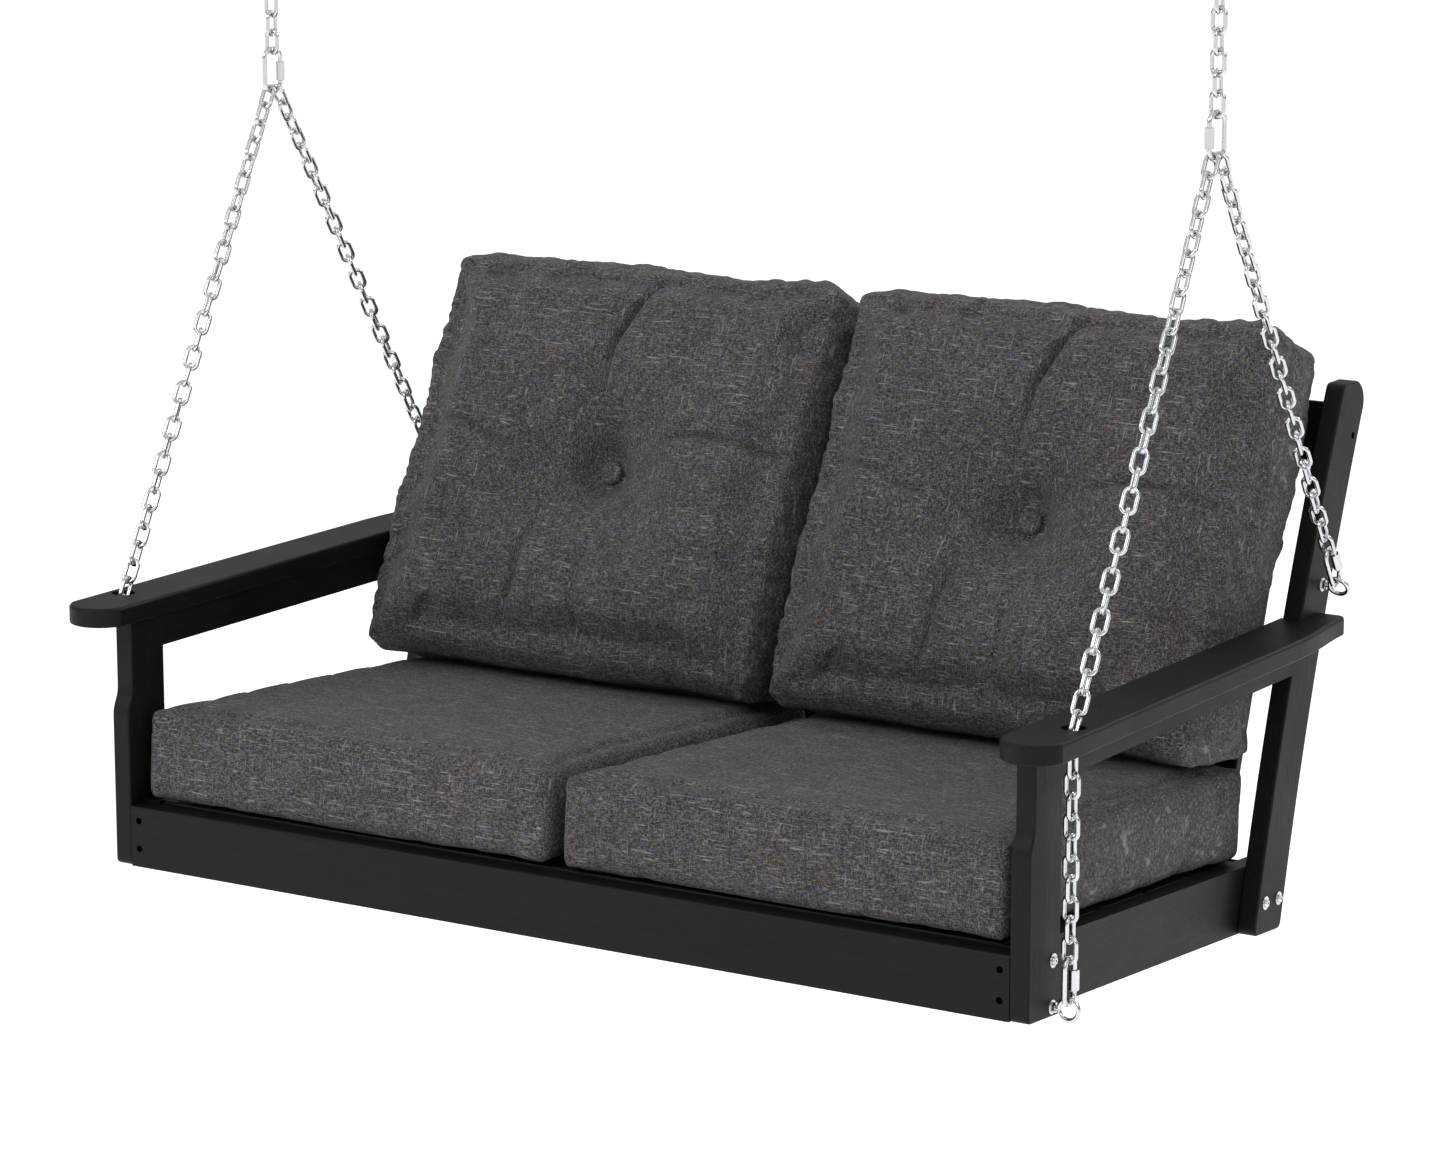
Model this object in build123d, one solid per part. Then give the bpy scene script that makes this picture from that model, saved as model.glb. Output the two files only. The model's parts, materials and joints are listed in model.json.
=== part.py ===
"""A two-seat porch swing seat: a board frame with loose cushions, hung on chains from two ceiling hooks.

While it is built, x runs from the viewer's left to right, y runs from the front of the seat to its
back and z runs up, with y = 0 on the front faces of the front legs and z = 0 at their lower front edge.
The last section moves the finished pieces so that the origin is under the middle of their box, at its
lowest point. Left and right are the viewer's, facing the front of the seat. All sizes are millimetres.
"""

from build123d import *
import math
import os

# ---- frame boards ----
BOARD = 25.4  # thickness of every structural board
LEG_OUTER = 662.0  # middle of the seat to the outer face of a leg
LEG_INNER = LEG_OUTER - BOARD
LEG_DEPTH = 73.7  # front to back of a front leg at its foot
LEG_SETBACK = 10.0  # the upper part of a front leg stands this far behind its foot
STEP_LOW = 193.0  # the front edge of a front leg steps back between these heights
STEP_HIGH = 233.0
ARM_TOP = 340.6
ARM_THICK = 24.6
ARM_UNDER = ARM_TOP - ARM_THICK
ARM_INNER = 630.5
ARM_OUTER = 710.0
ARM_CORNER_Y = -17.0  # where the bowed front end of an arm meets its straight sides
ARM_BOW = 29.0  # how far the bowed end stands in front of those corners
ARM_END = 760.0
ARM_TAPER_Y = 600.0  # the outer side of an arm curves inwards behind this
ARM_END_OUTER = 697.0
APRON_LOW = 274.7
SEAT_TILT = 4.0  # degrees, falling towards the back
RAIL_HEIGHT = 84.0
FRONT_RAIL_HEIGHT = 79.0
EDGE_ROUND = 2.5  # small rounding along the edges of boards

# ---- rear legs: both edges lean back more and more as they rise ----
LEG_FOOT_Z = -46.0
LEG_TOP_Z = 622.0
REAR_LEG_DEPTH = 74.4  # front to back, measured level
REAR_LEG_Y = 600.0  # front edge at z = 0
LEAN = 0.2434  # its slope there
LEAN_GAIN = 0.000161

# ---- back ----
SLAT_RAKE = 18.4  # degrees
SLAT_LINE_Y = 635.0  # middle of the back slats at z = 0
BACK_SLAT_THICK = 16.0
BACK_SLAT_WIDTH = 108.0
BACK_SLAT_COUNT = 8
BACK_SLATS_REACH = 590.0  # outer edge of the outermost slat
BACK_SLAT_LOW = -25.0  # along the rake
BACK_SLAT_HIGH = 628.0
BACK_RAIL_HEIGHT = 76.0
TOP_RAIL_MIDDLE = 590.0  # along the rake
LOWER_RAIL_MIDDLE = 2.0

# ---- seat ----
SEAT_SLAT_COUNT = 5
SEAT_SLAT_THICK = 18.0
SEAT_SLAT_FRONT = 27.0  # along the tilted seat
SEAT_SLAT_BACK = 626.0
SEAT_SLAT_GAP = 8.0
BEARER_HEIGHT = RAIL_HEIGHT - SEAT_SLAT_THICK - 0.3

# ---- cushions ----
CUSHION_INNER = 3.0  # side of a cushion next to the middle of the seat
CUSHION_OUTER = 630.0
SEAT_CUSHION_THICK = 124.0
SEAT_CUSHION_FRONT = -2.0  # along the tilted seat
SEAT_CUSHION_BACK = 632.0
COVER_THICK = 3.0
CORE_GAP = 0.4
BUTTON_RADIUS = 16.0
BUTTON_THICK = 7.0
TUFT_FLOOR = 19.0  # radius of the flat at the bottom of a tuft
FRONT_TUFT = (635.0, 439.0, 66.3, 118.0, 100.0)  # y, z, tilt of its axis, mouth radius, depth
BACK_TUFT = (728.0, 445.0, -110.5, 52.0, 30.0)

# ---- chain, quick links and eye bolts ----
CHAIN_X = 684.5
CHAIN_WIRE = 5.5
CHAIN_LINK_INNER = 24.4  # inside length of a link
CHAIN_LINK_GAP = 10.5  # inside width of a link
FIT = 0.1  # clearance between wires that bear on each other
ROCK_FIT = 0.25  # the same at the two chains that rock in an upper quick link
QUICK_WIRE = 6.2
QUICK_BEND = 11.9  # centre-line radius of the ends of a quick link
QUICK_STRAIGHT = 32.0
QUICK_OPENING = 5.0  # the mouth that the sleeve closes
SLEEVE_LENGTH = 24.5
SLEEVE_FLATS = 11.0
SLEEVE_BORE = QUICK_WIRE / 2 + 0.15
SLEEVE_LOW = -14.0  # lower end of the closed sleeve, from the middle of the link
EYE_RING = 12.75  # centre-line radius
EYE_WIRE = 6.0
EYE_FRONT_Y = 55.0
EYE_FRONT_Z = 8.5
EYE_REAR_Y = 760.0
EYE_REAR_Z = 376.0
ARM_HOLE_RADIUS = 15.0
ARM_HOLE_Y = 56.0
CHAIN_BEND_Z = 333.85  # the front chain turns here, inside the hole in the arm
APEX_Y = 390.0  # centre of the lower bend of an upper quick link: the rocking axis
APEX_Z = 962.0
QUICK_TWIST = 70.0  # degrees that an upper quick link is turned from the X direction
UPPER_LINKS = 6
UPPER_PITCH = 24.2
FRONT_LOWER_LINKS = 11
FRONT_LINKS = 29
REAR_LINKS = 26
RUN_TWIST = 90.0  # degrees of twist along each slanting run, which turns its top link square

# ---- ceiling hooks ----
HOOK_WIRE = 6.0
HOOK_BEND = 11.9
HOOK_LEG = 24.6
PLATE_WIDTH = 50.0
PLATE_LENGTH = 90.0
PLATE_THICK = 5.0
PLATE_HOLE_RADIUS = 4.25
PLATE_HOLE_SPACING = 60.0

# ---- bolts and screws ----
BOLT_RADIUS = 3.0
BOLT_HOLE_RADIUS = 3.15
BOLT_LENGTH = 44.0
BOLT_HEAD_RADIUS = 5.5
BOLT_HEAD_THICK = 3.2
WASHER_RADIUS = 8.5
WASHER_THICK = 1.5
NUT_FLATS = 11.0
NUT_THICK = 5.0
LONG_SCREW = 60.0
FRONT_SCREW = 45.0
SEAT_SCREW = 40.0
BACK_SCREW = 35.0
APRON_SCREWS = (200.0, 380.0, 560.0)  # y positions
FRONT_BOLT = (56.8, 63.4)  # y and z
REAR_BOLTS = ((617.2, -3.2), (654.5, -5.7))
SCREW_RADIUS = 2.2
SCREW_HEAD_RADIUS = 4.4

pieces = {}


def add(node, *solids):
    """Keep one or more separate solids as the named node."""
    pieces.setdefault(node, []).extend(solids)


def add_pair(name, right):
    """Keep a right-hand piece and its mirror image on the left."""
    add("right_" + name, right)
    add("left_" + name, mirror(right, about=Plane.YZ))


def board(outline, x_low, x_high):
    """A board whose outline is drawn in y and z, between two x positions."""
    return extrude(Plane.YZ.offset(x_low) * outline, amount=x_high - x_low)


def round_corner(outline, y, z, radius):
    """Round the corner of a flat outline that lies nearest to (y, z)."""
    corner = outline.vertices().sort_by_distance((y, z, 0))[0]
    return fillet(corner, radius)


def soften(solid, radius=EDGE_ROUND):
    """Round every edge of a plain board a little."""
    return fillet(solid.edges(), radius)


# ---- legs ----


def leg_front(z):
    return REAR_LEG_Y + LEAN * z + LEAN_GAIN * z * z


def leg_back(z):
    return leg_front(z) + REAR_LEG_DEPTH


def seat_line(y):
    """Height of the underside of the seat, which falls towards the back."""
    return -math.tan(math.radians(SEAT_TILT)) * y


def front_leg():
    front = (
        Line((0, 0), (0, STEP_LOW))
        + Bezier(
            (0, STEP_LOW),
            (0, STEP_LOW + 20),
            (LEG_SETBACK, STEP_HIGH - 20),
            (LEG_SETBACK, STEP_HIGH),
        )
        + Line((LEG_SETBACK, STEP_HIGH), (LEG_SETBACK, ARM_UNDER))
    )
    rest = Polyline(
        (LEG_SETBACK, ARM_UNDER),
        (LEG_DEPTH, ARM_UNDER),
        (LEG_DEPTH, seat_line(LEG_DEPTH)),
        (0, 0),
    )
    outline = make_face((front + rest).edges())
    outline = round_corner(outline, 0, 0, 8.0)
    leg = board(outline, LEG_INNER, LEG_OUTER)
    front_edges = leg.edges().filter_by(lambda e: e.center().Y < LEG_SETBACK + 2)
    long_edges = front_edges.filter_by(lambda e: abs(e.tangent_at(0.5).X) < 0.1)
    leg = fillet(long_edges, EDGE_ROUND)
    for y, z in (FRONT_BOLT, (EYE_FRONT_Y, EYE_FRONT_Z)):
        leg -= Pos(LEG_OUTER, y, z) * Rot(Y=90) * Cylinder(BOLT_HOLE_RADIUS, 4 * BOARD)
    return leg


def rear_leg():
    middle = (LEG_FOOT_Z + LEG_TOP_Z) / 2
    foot_front = leg_front(LEG_FOOT_Z)
    foot_back = leg_back(LEG_FOOT_Z)
    outline = make_face(
        [
            ThreePointArc(
                (foot_front, seat_line(foot_front)),
                (leg_front(middle), middle),
                (leg_front(LEG_TOP_Z), LEG_TOP_Z),
            ),
            Line((leg_front(LEG_TOP_Z), LEG_TOP_Z), (leg_back(LEG_TOP_Z), LEG_TOP_Z)),
            ThreePointArc(
                (leg_back(LEG_TOP_Z), LEG_TOP_Z),
                (leg_back(middle), middle),
                (foot_back, seat_line(foot_back)),
            ),
            Line((foot_back, seat_line(foot_back)), (foot_front, seat_line(foot_front))),
        ]
    )
    outline = round_corner(outline, leg_back(LEG_TOP_Z), LEG_TOP_Z, 28.0)
    outline = round_corner(outline, leg_front(LEG_TOP_Z), LEG_TOP_Z, 10.0)
    outline = round_corner(outline, foot_front, seat_line(foot_front), 8.0)
    outline = round_corner(outline, foot_back, seat_line(foot_back), 10.0)
    leg = board(outline, LEG_INNER, LEG_OUTER)
    leg = fillet(leg.faces().filter_by(Axis.X).edges(), EDGE_ROUND)
    for y, z in REAR_BOLTS + ((EYE_REAR_Y, EYE_REAR_Z),):
        leg -= Pos(LEG_OUTER, y, z) * Rot(Y=90) * Cylinder(BOLT_HOLE_RADIUS, 4 * BOARD)
    return leg


# ---- arms ----


def arm():
    middle = (ARM_INNER + ARM_OUTER) / 2
    inner_end = leg_front(ARM_TOP) + 4
    outline = make_face(
        [
            Line((ARM_INNER, inner_end), (ARM_INNER, ARM_CORNER_Y)),
            ThreePointArc(
                (ARM_INNER, ARM_CORNER_Y),
                (middle, ARM_CORNER_Y - ARM_BOW),
                (ARM_OUTER, ARM_CORNER_Y),
            ),
            Line((ARM_OUTER, ARM_CORNER_Y), (ARM_OUTER, ARM_TAPER_Y)),
            Bezier(
                (ARM_OUTER, ARM_TAPER_Y),
                (ARM_OUTER, ARM_TAPER_Y + 70),
                (ARM_END_OUTER, ARM_END - 50),
                (ARM_END_OUTER, ARM_END),
            ),
            Polyline(
                (ARM_END_OUTER, ARM_END),
                (LEG_OUTER, ARM_END),
                (LEG_OUTER, inner_end),
                (ARM_INNER, inner_end),
            ),
        ]
    )
    outline = round_corner(outline, ARM_END_OUTER, ARM_END, 9.0)
    slab = extrude(Pos(0, 0, ARM_UNDER) * outline, amount=ARM_THICK)
    slab = soften_arm(slab)
    slab -= rear_leg()
    behind = leg_front(ARM_TOP) + 2
    slab -= Pos(LEG_OUTER - 40, behind + 50, ARM_UNDER) * Box(80, 100, 4 * ARM_THICK)
    slab -= Pos(CHAIN_X, ARM_HOLE_Y, ARM_TOP) * Cylinder(ARM_HOLE_RADIUS, 4 * ARM_THICK)
    return slab


def soften_arm(slab):
    """Round the upper and lower edges that a hand meets, not those against the rear leg."""
    top = slab.faces().sort_by(Axis.Z)[-1].edges()
    low = slab.faces().sort_by(Axis.Z)[0].edges()
    far = leg_front(ARM_TOP)

    def outside(edge):
        return edge.center().Y < far - 5 or edge.center().X > LEG_OUTER + 2

    slab = fillet(top.filter_by(outside), 5.0)
    low = slab.faces().sort_by(Axis.Z)[0].edges()
    return fillet(low.filter_by(outside), 2.5)


def arm_apron():
    back_low = leg_front(APRON_LOW) + 5
    back_high = leg_front(ARM_UNDER) + 5
    outline = make_face(
        Polyline(
            (LEG_DEPTH, APRON_LOW),
            (back_low, APRON_LOW),
            (back_high, ARM_UNDER),
            (LEG_DEPTH, ARM_UNDER),
            (LEG_DEPTH, APRON_LOW),
        )
    )
    return board(outline, LEG_INNER, LEG_OUTER) - rear_leg()


# ---- seat frame ----


def sloping_board(back_low, back_high, height, x_low, x_high):
    """A board that runs back from the front rail along the falling line of the seat."""
    outline = make_face(
        Polyline(
            (BOARD, seat_line(BOARD)),
            (back_low, seat_line(back_low)),
            (back_high, seat_line(back_high) + height),
            (BOARD, seat_line(BOARD) + height),
            (BOARD, seat_line(BOARD)),
        )
    )
    return board(outline, x_low, x_high)


def side_rail():
    inset = 4.0
    rail = sloping_board(
        leg_back(LEG_FOOT_Z) - inset, leg_back(37) - inset, RAIL_HEIGHT, LEG_INNER - BOARD, LEG_INNER
    )
    for y, z in REAR_BOLTS + (FRONT_BOLT, (EYE_FRONT_Y, EYE_FRONT_Z)):
        rail -= Pos(LEG_INNER, y, z) * Rot(Y=90) * Cylinder(BOLT_HOLE_RADIUS, 4 * BOARD)
    return rail


def front_rail():
    rail = Pos(0, BOARD / 2, FRONT_RAIL_HEIGHT / 2) * Box(2 * LEG_INNER, BOARD, FRONT_RAIL_HEIGHT)
    top_front = rail.edges().filter_by(Axis.X).sort_by(lambda e: e.center().Y - e.center().Z)[0]
    return fillet(top_front, 4.0)


def raked(shape):
    """Place a shape drawn square to the back slats: y through them, z along them."""
    return Pos(0, SLAT_LINE_Y, 0) * Rot(X=-SLAT_RAKE) * shape


def tilted(shape):
    """Place a shape drawn square to the seat: y along it, z up from the underside of its rails."""
    return Rot(X=-SEAT_TILT) * shape


RAIL_OFFSET = (BACK_SLAT_THICK + BOARD) / 2


def back_rail(reach, middle):
    rail = Pos(0, RAIL_OFFSET, middle) * Box(2 * reach, BOARD, BACK_RAIL_HEIGHT)
    return raked(fillet(rail.edges().filter_by(Axis.X), EDGE_ROUND))


def rail_face(z):
    """Front face of the lower back rail at height z, where the seat bearers end."""
    rake = math.radians(SLAT_RAKE)
    reach = BACK_SLAT_THICK / 2
    return SLAT_LINE_Y + reach * math.cos(rake) + (z + reach * math.sin(rake)) * math.tan(rake)


def seat_bearer(x):
    low = rail_face(-44)
    high = rail_face(20)
    return sloping_board(low, high, BEARER_HEIGHT, x - BOARD / 2, x + BOARD / 2)


def seat_slat_places():
    span = SEAT_SLAT_BACK - SEAT_SLAT_FRONT
    width = (span - (SEAT_SLAT_COUNT - 1) * SEAT_SLAT_GAP) / SEAT_SLAT_COUNT
    return [
        (SEAT_SLAT_FRONT + width / 2 + i * (width + SEAT_SLAT_GAP), width)
        for i in range(SEAT_SLAT_COUNT)
    ]


SEAT_TOP = RAIL_HEIGHT * math.cos(math.radians(SEAT_TILT))  # square to the seat
SEAT_SLAT_MIDDLE = SEAT_TOP - SEAT_SLAT_THICK / 2


def seat_slat(middle, width):
    length = 2 * (LEG_INNER - BOARD) - 0.4
    return tilted(Pos(0, middle, SEAT_SLAT_MIDDLE) * soften(Box(length, width, SEAT_SLAT_THICK)))


BACK_SLAT_PITCH = (2 * BACK_SLATS_REACH - BACK_SLAT_WIDTH) / (BACK_SLAT_COUNT - 1)


BEARER_X = 3 * BACK_SLAT_PITCH


def back_slat_x(index):
    return (index - (BACK_SLAT_COUNT - 1) / 2) * BACK_SLAT_PITCH


def back_slat(index):
    height = BACK_SLAT_HIGH - BACK_SLAT_LOW
    middle = (BACK_SLAT_HIGH + BACK_SLAT_LOW) / 2
    slat = soften(Box(BACK_SLAT_WIDTH, BACK_SLAT_THICK, height))
    return raked(Pos(back_slat_x(index), 0, middle) * slat)


# ---- fasteners ----


def screw(length):
    """A countersunk screw that points down -Z, with its flat head at z = 0."""
    profile = make_face(
        Polyline(
            (0, 0),
            (SCREW_HEAD_RADIUS, 0),
            (SCREW_RADIUS, -2.6),
            (SCREW_RADIUS, 4 - length),
            (0, -length),
            (0, 0),
        )
    )
    return revolve(Plane.XZ * profile, Axis.Z)


def front_rail_screws():
    """Two through each end of the front rail into the side rail behind it."""
    spots = [(side * (LEG_INNER - BOARD / 2), z) for side in (-1, 1) for z in (24.0, 60.6)]
    return [Pos(x, 0, z) * Rot(X=90) * screw(FRONT_SCREW) for x, z in spots]


def back_rail_screws(long_screw):
    """Through the side rails into the lower back rail, and through the rear legs into the top one."""
    spots = [
        (LEG_INNER, LOWER_RAIL_MIDDLE - 18),
        (LEG_INNER, LOWER_RAIL_MIDDLE + 18),
        (LEG_OUTER, TOP_RAIL_MIDDLE),
    ]
    screws = [
        Pos(side * x, 0, 0) * raked(Pos(0, RAIL_OFFSET, z) * Rot(Y=side * 90) * long_screw)
        for side in (-1, 1)
        for x, z in spots
    ]
    for side in (-1, 0, 1):
        place = Pos(side * BEARER_X, RAIL_OFFSET + BOARD / 2, LOWER_RAIL_MIDDLE - 4)
        screws.append(raked(place * Rot(X=-90) * long_screw))
    return screws


def apron_screws(long_screw):
    """Up through each apron into the arm that rests on it."""
    middle = LEG_OUTER - BOARD / 2
    return [
        Pos(side * middle, y, APRON_LOW) * Rot(X=180) * long_screw
        for side in (-1, 1)
        for y in APRON_SCREWS
    ]


def frame_screws():
    long_screw = screw(LONG_SCREW)
    return front_rail_screws() + back_rail_screws(long_screw) + apron_screws(long_screw)


def slat_screws():
    """Screws through the slats: one for each bearer, and two for each back rail."""
    screws = []
    seat_screw = screw(SEAT_SCREW)
    back_screw = screw(BACK_SCREW)
    for middle, _ in seat_slat_places():
        for side in (-1, 0, 1):
            screws.append(tilted(Pos(side * BEARER_X, middle, SEAT_TOP) * seat_screw))
    for index in range(BACK_SLAT_COUNT):
        for height in (LOWER_RAIL_MIDDLE, TOP_RAIL_MIDDLE):
            for offset in (-BACK_SLAT_WIDTH / 4, BACK_SLAT_WIDTH / 4):
                place = Pos(back_slat_x(index) + offset, -BACK_SLAT_THICK / 2, height)
                screws.append(raked(place * Rot(X=90) * back_screw))
    return screws


def washer():
    """A washer that stands out along +X from x = 0."""
    ring = Cylinder(WASHER_RADIUS, WASHER_THICK) - Cylinder(BOLT_HOLE_RADIUS, 2 * WASHER_THICK)
    return Pos(WASHER_THICK / 2, 0, 0) * Rot(Y=90) * ring


def nut():
    """A hexagon nut that stands out along +X from x = 0."""
    flat = RegularPolygon(NUT_FLATS / 2, 6, major_radius=False)
    body = extrude(flat, amount=NUT_THICK) - Cylinder(BOLT_HOLE_RADIUS, 4 * NUT_THICK)
    body &= chamfer(Cylinder(NUT_FLATS / 2 * 1.13, 2 * NUT_THICK - 0.02).edges(), 0.6)
    return Rot(Y=90) * body


def leg_bolt():
    """A button-head bolt, its head outside x = WASHER_THICK and its shank along -X."""
    shank = Pos(WASHER_THICK - BOLT_LENGTH / 2, 0, 0) * Rot(Y=90) * Cylinder(BOLT_RADIUS, BOLT_LENGTH)
    head = Cylinder(BOLT_HEAD_RADIUS, BOLT_HEAD_THICK)
    head = fillet(head.edges().sort_by(Axis.Z)[-1], 2.4)
    head -= Pos(0, 0, BOLT_HEAD_THICK) * extrude(RegularPolygon(1.7, 6), amount=-3.4)
    head = Pos(WASHER_THICK + BOLT_HEAD_THICK / 2, 0, 0) * Rot(Y=90) * head
    return head + shank


def eye_bolt(inside, lean):
    """An eye bolt through x = LEG_OUTER, its ring centred on the chain and turned to the pull."""
    ring = Rot(X=90 - lean) * Torus(EYE_RING, EYE_WIRE / 2)
    near = CHAIN_X - EYE_RING
    far = inside - WASHER_THICK - NUT_THICK - 4
    shank = Pos((near + far) / 2 - CHAIN_X, 0, 0) * Rot(Y=90) * Cylinder(BOLT_RADIUS, near - far)
    return Pos(CHAIN_X, 0, 0) * (ring + shank)


# ---- chain ----


def ring_link(half_straight, bend, wire):
    """A round-wire link in the XZ plane about the origin, its long way along Z."""
    section = Pos(bend, 0, half_straight) * Circle(wire / 2)
    turn = revolve(section, Axis((0, 0, half_straight), (0, 1, 0)), -180)
    side = Pos(bend, 0, 0) * Cylinder(wire / 2, 2 * half_straight)
    return turn + side + mirror(side, about=Plane.YZ) + mirror(turn, about=Plane.XY)


LINK_BEND = (CHAIN_LINK_GAP + CHAIN_WIRE) / 2
CHAIN_LINK = ring_link((CHAIN_LINK_INNER + CHAIN_WIRE) / 2 - LINK_BEND, LINK_BEND, CHAIN_WIRE)


def chain_run(start, end, count, first_roll, twist=0.0, drift=0.0):
    """Links between two (y, z) points where they bear, each turned a quarter from the last.

    A slanting run is also twisted a little from link to link, so that its top link hangs square,
    and it drifts a little in x to meet the bend of the quick link.
    """
    step_y = (end[0] - start[0]) / count
    step_z = (end[1] - start[1]) / count
    lean = math.degrees(math.atan2(step_y, step_z))
    pitch = math.hypot(step_y, step_z)
    print(f"chain pitch {pitch:.2f} over {count} links, lean {lean:.2f}")
    links = []
    for i in range(count):
        x = CHAIN_X + drift * i / (count - 1)
        place = Pos(x, start[0] + (i + 0.5) * step_y, start[1] + (i + 0.5) * step_z)
        roll = first_roll + 90 * i + twist * i / (count - 1)
        links.append(place * Rot(X=-lean) * Rot(Z=roll) * CHAIN_LINK)
    return links


def quick_link():
    """A quick link in the XZ plane about the origin, with its mouth low on the +X side."""
    link = ring_link(QUICK_STRAIGHT / 2, QUICK_BEND, QUICK_WIRE)
    mouth_middle = SLEEVE_LOW + 1 + QUICK_OPENING / 2
    return link - Pos(QUICK_BEND, 0, mouth_middle) * Box(8, 8, QUICK_OPENING)


def sleeve():
    """The hexagon sleeve that closes the mouth of a quick link."""
    body = extrude(RegularPolygon(SLEEVE_FLATS / 2, 6, major_radius=False), amount=SLEEVE_LENGTH)
    cap = Pos(0, 0, SLEEVE_LENGTH / 2) * Cylinder(SLEEVE_FLATS / 2 * 1.12, SLEEVE_LENGTH)
    body &= chamfer(cap.edges(), 0.8)
    body -= Cylinder(SLEEVE_BORE, 4 * SLEEVE_LENGTH)
    return Pos(QUICK_BEND, 0, SLEEVE_LOW) * body


def pull_direction(from_y, from_z, to_y, to_z):
    """Lean of the line between two points, in degrees from upright."""
    return math.degrees(math.atan2(to_y - from_y, to_z - from_z))


def along(y, z, lean, distance):
    angle = math.radians(lean)
    return y + distance * math.sin(angle), z + distance * math.cos(angle)


RING_REST = EYE_RING - EYE_WIRE / 2 - QUICK_WIRE / 2 - FIT  # ring centre to quick link bend
QUICK_MIDDLE = RING_REST + QUICK_BEND + QUICK_STRAIGHT / 2
QUICK_END = QUICK_MIDDLE + QUICK_STRAIGHT / 2 + QUICK_BEND - QUICK_WIRE / 2
BEND_REST = QUICK_BEND - QUICK_WIRE / 2

def bend_crossing(lean):
    """Where the lower bend of an upper quick link crosses a chain: its x, and its reach below the apex."""
    turn = math.radians(QUICK_TWIST)
    angle = math.atan(math.tan(math.radians(lean)) / math.sin(turn))
    x = -QUICK_BEND * math.sin(angle) * math.cos(turn)
    return x, QUICK_BEND * math.hypot(math.sin(angle) * math.sin(turn), math.cos(angle))


FRONT_LEAN = pull_direction(EYE_FRONT_Y, CHAIN_BEND_Z, APEX_Y, APEX_Z)
REAR_LEAN = pull_direction(EYE_REAR_Y, EYE_REAR_Z, APEX_Y, APEX_Z)


def place_on_lean(y, z, lean, distance):
    """Where a quick link sits, upright links being turned so that their mouth faces the back."""
    at_y, at_z = along(y, z, lean, distance)
    return Pos(CHAIN_X, at_y, at_z) * Rot(X=-lean) * Rot(Z=90)


def front_chain():
    start = (EYE_FRONT_Y, EYE_FRONT_Z + QUICK_END)
    bend = (EYE_FRONT_Y, CHAIN_BEND_Z)
    drift, reach = bend_crossing(FRONT_LEAN)
    top = along(APEX_Y, APEX_Z, FRONT_LEAN, QUICK_WIRE / 2 + ROCK_FIT - reach)
    lower = chain_run(start, bend, FRONT_LOWER_LINKS, 0)
    return lower + chain_run(bend, top, FRONT_LINKS, 90 * FRONT_LOWER_LINKS, RUN_TWIST, drift)


def rear_chain():
    start = along(EYE_REAR_Y, EYE_REAR_Z, REAR_LEAN, QUICK_END)
    drift, reach = bend_crossing(REAR_LEAN)
    top = along(APEX_Y, APEX_Z, REAR_LEAN, QUICK_WIRE / 2 + ROCK_FIT - reach)
    return chain_run(start, top, REAR_LINKS, 0, RUN_TWIST, drift)


UPPER_START = APEX_Z + QUICK_STRAIGHT + BEND_REST
HOOK_BAR = UPPER_START + UPPER_LINKS * UPPER_PITCH - HOOK_WIRE / 2 - FIT / 2


def upper_chain():
    start = (APEX_Y, UPPER_START)
    end = (APEX_Y, UPPER_START + UPPER_LINKS * UPPER_PITCH)
    return chain_run(start, end, UPPER_LINKS, 0)


def upper_quick_place(side):
    """Both upper links are twisted the same way; their sleeves face the middle of the seat."""
    turn = QUICK_TWIST if side < 0 else QUICK_TWIST + 180
    return Pos(side * CHAIN_X, APEX_Y, APEX_Z + QUICK_STRAIGHT / 2) * Rot(Z=turn)


def ceiling_hook():
    """A plate for the ceiling with a round-wire loop under it for the chain."""
    bend_z = HOOK_BAR + HOOK_BEND
    section = Pos(HOOK_BEND, 0, 0) * Circle(HOOK_WIRE / 2)
    loop = Pos(0, 0, bend_z) * revolve(section, Axis((0, 0, 0), (0, 1, 0)), 180)
    for side in (-1, 1):
        loop += Pos(side * HOOK_BEND, 0, bend_z + HOOK_LEG / 2) * Cylinder(HOOK_WIRE / 2, HOOK_LEG)
    plate = Box(PLATE_WIDTH, PLATE_LENGTH, PLATE_THICK)
    plate = fillet(plate.edges().filter_by(Axis.Z), 8.0)
    for side in (-1, 1):
        plate -= Pos(0, side * PLATE_HOLE_SPACING / 2, 0) * Cylinder(PLATE_HOLE_RADIUS, 4 * PLATE_THICK)
    plate = Pos(0, 0, bend_z + HOOK_LEG + PLATE_THICK / 2) * plate
    return Pos(CHAIN_X, APEX_Y, 0) * (plate + loop)


# ---- cushions ----

CUSHION_MIDDLE = (CUSHION_INNER + CUSHION_OUTER) / 2


def seat_cushion_block(inset):
    """A box cushion on the seat slats, shrunk by an inset on every side."""
    width = CUSHION_OUTER - CUSHION_INNER - 2 * inset
    depth = SEAT_CUSHION_BACK - SEAT_CUSHION_FRONT - 2 * inset
    thick = SEAT_CUSHION_THICK - 2 * inset
    block = fillet(Box(width, depth, thick).edges(), 26.0 - inset)
    middle_y = (SEAT_CUSHION_FRONT + SEAT_CUSHION_BACK) / 2
    return tilted(Pos(CUSHION_MIDDLE, middle_y, SEAT_TOP + 0.5 + SEAT_CUSHION_THICK / 2) * block)


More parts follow.
